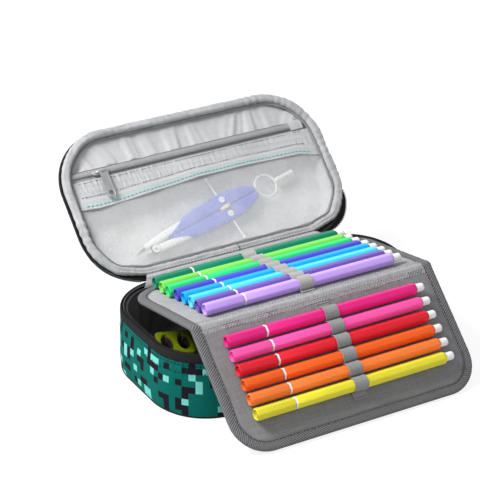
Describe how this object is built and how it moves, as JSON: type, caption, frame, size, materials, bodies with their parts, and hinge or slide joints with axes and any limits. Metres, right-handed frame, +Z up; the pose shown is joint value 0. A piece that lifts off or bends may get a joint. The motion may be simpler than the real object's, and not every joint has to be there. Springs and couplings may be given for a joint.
{
  "type": "pencil pouch",
  "caption": "Zipped fabric pencil case standing open, with a fold-out flap of capped fibre pens under elastic and a mesh lid pocket holding a pair of compasses.",
  "frame": {"origin": "middle of the underside, on the surface that the tub stands on", "axes": "+X along the case to the viewer's right when the open lid is behind, +Y from the front to the hinge at the back, +Z up"},
  "size_m": [0.2158, 0.2669, 0.1269],
  "materials": {
    "printed_fabric": "woven, printed with small squares",
    "black_fabric": "woven tape",
    "dark_lining": "plain woven lining",
    "light_lining": "light grey woven lining",
    "sheer_mesh": "sheer net",
    "grey_panel": "grey woven, stiffened",
    "grey_binding": "ribbed tape",
    "grey_elastic": "knitted elastic",
    "nickel": "satin plated",
    "gunmetal": "dark plated",
    "blue_plastic": "smooth moulded",
    "white_plastic": "smooth moulded",
    "green_plastic": "tinted, clear",
    "dark_green_plastic": "smooth moulded",
    "lime_plastic": "smooth moulded",
    "emerald_plastic": "smooth moulded",
    "indigo_plastic": "smooth moulded",
    "sky_blue_plastic": "smooth moulded",
    "cyan_plastic": "smooth moulded",
    "dark_purple_plastic": "smooth moulded",
    "lilac_plastic": "smooth moulded",
    "magenta_plastic": "smooth moulded",
    "pink_plastic": "smooth moulded",
    "red_plastic": "smooth moulded",
    "orange_plastic": "smooth moulded",
    "apricot_plastic": "smooth moulded",
    "yellow_plastic": "smooth moulded"
  },
  "bodies": {
    "tub": {"tub_base_panel": "black_fabric", "tub_base_piping": "black_fabric", "tub_side_wall": "printed_fabric", "tub_lining": "dark_lining", "tub_zip_tape": "black_fabric", "tub_zip_coil": "black_fabric", "back_hinge_strip": "black_fabric", "flap_root_tape": "grey_binding", "sharpener": "green_plastic", "main_slider": "gunmetal"},
    "main_pull": {"main_pull": "gunmetal"},
    "lid": {"lid_shell": "printed_fabric", "lid_zip_tape": "black_fabric", "lid_zip_coil": "black_fabric", "lid_lining": "light_lining", "lid_rim_roll": "light_lining", "pocket_mesh_panel": "sheer_mesh", "pocket_band": "light_lining", "pocket_top_panel": "light_lining", "pocket_zip": "grey_panel", "compass_legs": "blue_plastic", "compass_spindle": "nickel", "compass_ring": "nickel"},
    "pocket_slider": {"pocket_slider": "nickel"},
    "pocket_pull": {"pocket_pull": "nickel"},
    "flap_upper": {"flap_upper_panel": "grey_panel", "flap_upper_binding": "grey_binding", "flap_upper_elastic": "grey_elastic", "flap_fold_strip": "grey_binding"},
    "flap_lower": {"flap_lower_panel": "grey_panel", "flap_lower_binding": "grey_binding", "flap_lower_elastic": "grey_elastic"},
    "pen_dark_green": {"pen_dark_green": "dark_green_plastic"},
    "cap_dark_green": {"cap_dark_green": "dark_green_plastic"},
    "pen_lime": {"pen_lime": "lime_plastic"},
    "cap_lime": {"cap_lime": "lime_plastic"},
    "pen_emerald": {"pen_emerald": "emerald_plastic"},
    "cap_emerald": {"cap_emerald": "emerald_plastic"},
    "pen_indigo": {"pen_indigo": "indigo_plastic"},
    "cap_indigo": {"cap_indigo": "indigo_plastic"},
    "pen_sky_blue": {"pen_sky_blue": "sky_blue_plastic"},
    "cap_sky_blue": {"cap_sky_blue": "sky_blue_plastic"},
    "pen_cyan": {"pen_cyan": "cyan_plastic"},
    "cap_cyan": {"cap_cyan": "cyan_plastic"},
    "pen_dark_purple": {"pen_dark_purple": "dark_purple_plastic"},
    "cap_dark_purple": {"cap_dark_purple": "dark_purple_plastic"},
    "pen_lilac": {"pen_lilac": "lilac_plastic"},
    "cap_lilac": {"cap_lilac": "lilac_plastic"},
    "pen_magenta": {"pen_magenta": "magenta_plastic"},
    "cap_magenta": {"cap_magenta": "magenta_plastic"},
    "pen_pink": {"pen_pink": "pink_plastic"},
    "cap_pink": {"cap_pink": "pink_plastic"},
    "pen_red": {"pen_red": "red_plastic"},
    "cap_red": {"cap_red": "red_plastic"},
    "pen_orange": {"pen_orange": "orange_plastic"},
    "cap_orange": {"cap_orange": "orange_plastic"},
    "pen_apricot": {"pen_apricot": "apricot_plastic"},
    "cap_apricot": {"cap_apricot": "apricot_plastic"},
    "pen_yellow": {"pen_yellow": "yellow_plastic"},
    "cap_yellow": {"cap_yellow": "yellow_plastic"}
  },
  "joints": [
    {"name": "lid_hinge", "type": "hinge", "parent": "tub", "child": "lid", "pos_m": [0, 0.0583, 0.0475], "axis": [-1, 0, 0], "range_deg": [-95, 43]},
    {"name": "flap_root_hinge", "type": "hinge", "parent": "tub", "child": "flap_upper", "pos_m": [0.0012, 0.0495, 0.046], "axis": [-1, 0, 0], "range_deg": [0, 75]},
    {"name": "flap_fold_hinge", "type": "hinge", "parent": "flap_upper", "child": "flap_lower", "pos_m": [0.0012, -0.0444, 0.0642], "axis": [-1, 0, 0], "range_deg": [0, 145]},
    {"name": "main_pull_hinge", "type": "hinge", "parent": "tub", "child": "main_pull", "pos_m": [0.10644, 0.03373, 0.0478], "axis": [0.3746, -0.9272, 0], "range_deg": [0, 150]},
    {"name": "pocket_zip_slide", "type": "slide", "parent": "lid", "child": "pocket_slider", "axis": [1, 0, 0], "range_m": [0, 0.15]},
    {"name": "pocket_pull_hinge", "type": "hinge", "parent": "pocket_slider", "child": "pocket_pull", "pos_m": [-0.074, 0.12297, 0.10617], "axis": [-1, 0, 0], "range_deg": [0, 150]},
    {"name": "pen_dark_green_slide", "type": "slide", "parent": "flap_upper", "child": "pen_dark_green", "axis": [-1, 0, 0], "range_m": [0, 0.09]},
    {"name": "cap_dark_green_slide", "type": "slide", "parent": "pen_dark_green", "child": "cap_dark_green", "axis": [-1, 0, 0], "range_m": [0, 0.035]},
    {"name": "pen_lime_slide", "type": "slide", "parent": "flap_upper", "child": "pen_lime", "axis": [-1, 0, 0], "range_m": [0, 0.09]},
    {"name": "cap_lime_slide", "type": "slide", "parent": "pen_lime", "child": "cap_lime", "axis": [-1, 0, 0], "range_m": [0, 0.035]},
    {"name": "pen_emerald_slide", "type": "slide", "parent": "flap_upper", "child": "pen_emerald", "axis": [-1, 0, 0], "range_m": [0, 0.09]},
    {"name": "cap_emerald_slide", "type": "slide", "parent": "pen_emerald", "child": "cap_emerald", "axis": [-1, 0, 0], "range_m": [0, 0.035]},
    {"name": "pen_indigo_slide", "type": "slide", "parent": "flap_upper", "child": "pen_indigo", "axis": [-1, 0, 0], "range_m": [0, 0.09]},
    {"name": "cap_indigo_slide", "type": "slide", "parent": "pen_indigo", "child": "cap_indigo", "axis": [-1, 0, 0], "range_m": [0, 0.035]},
    {"name": "pen_sky_blue_slide", "type": "slide", "parent": "flap_upper", "child": "pen_sky_blue", "axis": [-1, 0, 0], "range_m": [0, 0.09]},
    {"name": "cap_sky_blue_slide", "type": "slide", "parent": "pen_sky_blue", "child": "cap_sky_blue", "axis": [-1, 0, 0], "range_m": [0, 0.035]},
    {"name": "pen_cyan_slide", "type": "slide", "parent": "flap_upper", "child": "pen_cyan", "axis": [-1, 0, 0], "range_m": [0, 0.09]},
    {"name": "cap_cyan_slide", "type": "slide", "parent": "pen_cyan", "child": "cap_cyan", "axis": [-1, 0, 0], "range_m": [0, 0.035]},
    {"name": "pen_dark_purple_slide", "type": "slide", "parent": "flap_upper", "child": "pen_dark_purple", "axis": [-1, 0, 0], "range_m": [0, 0.09]},
    {"name": "cap_dark_purple_slide", "type": "slide", "parent": "pen_dark_purple", "child": "cap_dark_purple", "axis": [-1, 0, 0], "range_m": [0, 0.035]},
    {"name": "pen_lilac_slide", "type": "slide", "parent": "flap_upper", "child": "pen_lilac", "axis": [-1, 0, 0], "range_m": [0, 0.09]},
    {"name": "cap_lilac_slide", "type": "slide", "parent": "pen_lilac", "child": "cap_lilac", "axis": [-1, 0, 0], "range_m": [0, 0.035]},
    {"name": "pen_magenta_slide", "type": "slide", "parent": "flap_lower", "child": "pen_magenta", "axis": [-1, 0, 0], "range_m": [0, 0.09]},
    {"name": "cap_magenta_slide", "type": "slide", "parent": "pen_magenta", "child": "cap_magenta", "axis": [-1, 0, 0], "range_m": [0, 0.035]},
    {"name": "pen_pink_slide", "type": "slide", "parent": "flap_lower", "child": "pen_pink", "axis": [-1, 0, 0], "range_m": [0, 0.09]},
    {"name": "cap_pink_slide", "type": "slide", "parent": "pen_pink", "child": "cap_pink", "axis": [-1, 0, 0], "range_m": [0, 0.035]},
    {"name": "pen_red_slide", "type": "slide", "parent": "flap_lower", "child": "pen_red", "axis": [-1, 0, 0], "range_m": [0, 0.09]},
    {"name": "cap_red_slide", "type": "slide", "parent": "pen_red", "child": "cap_red", "axis": [-1, 0, 0], "range_m": [0, 0.035]},
    {"name": "pen_orange_slide", "type": "slide", "parent": "flap_lower", "child": "pen_orange", "axis": [-1, 0, 0], "range_m": [0, 0.09]},
    {"name": "cap_orange_slide", "type": "slide", "parent": "pen_orange", "child": "cap_orange", "axis": [-1, 0, 0], "range_m": [0, 0.035]},
    {"name": "pen_apricot_slide", "type": "slide", "parent": "flap_lower", "child": "pen_apricot", "axis": [-1, 0, 0], "range_m": [0, 0.09]},
    {"name": "cap_apricot_slide", "type": "slide", "parent": "pen_apricot", "child": "cap_apricot", "axis": [-1, 0, 0], "range_m": [0, 0.035]},
    {"name": "pen_yellow_slide", "type": "slide", "parent": "flap_lower", "child": "pen_yellow", "axis": [-1, 0, 0], "range_m": [0, 0.09]},
    {"name": "cap_yellow_slide", "type": "slide", "parent": "pen_yellow", "child": "cap_yellow", "axis": [-1, 0, 0], "range_m": [0, 0.035]}
  ]
}
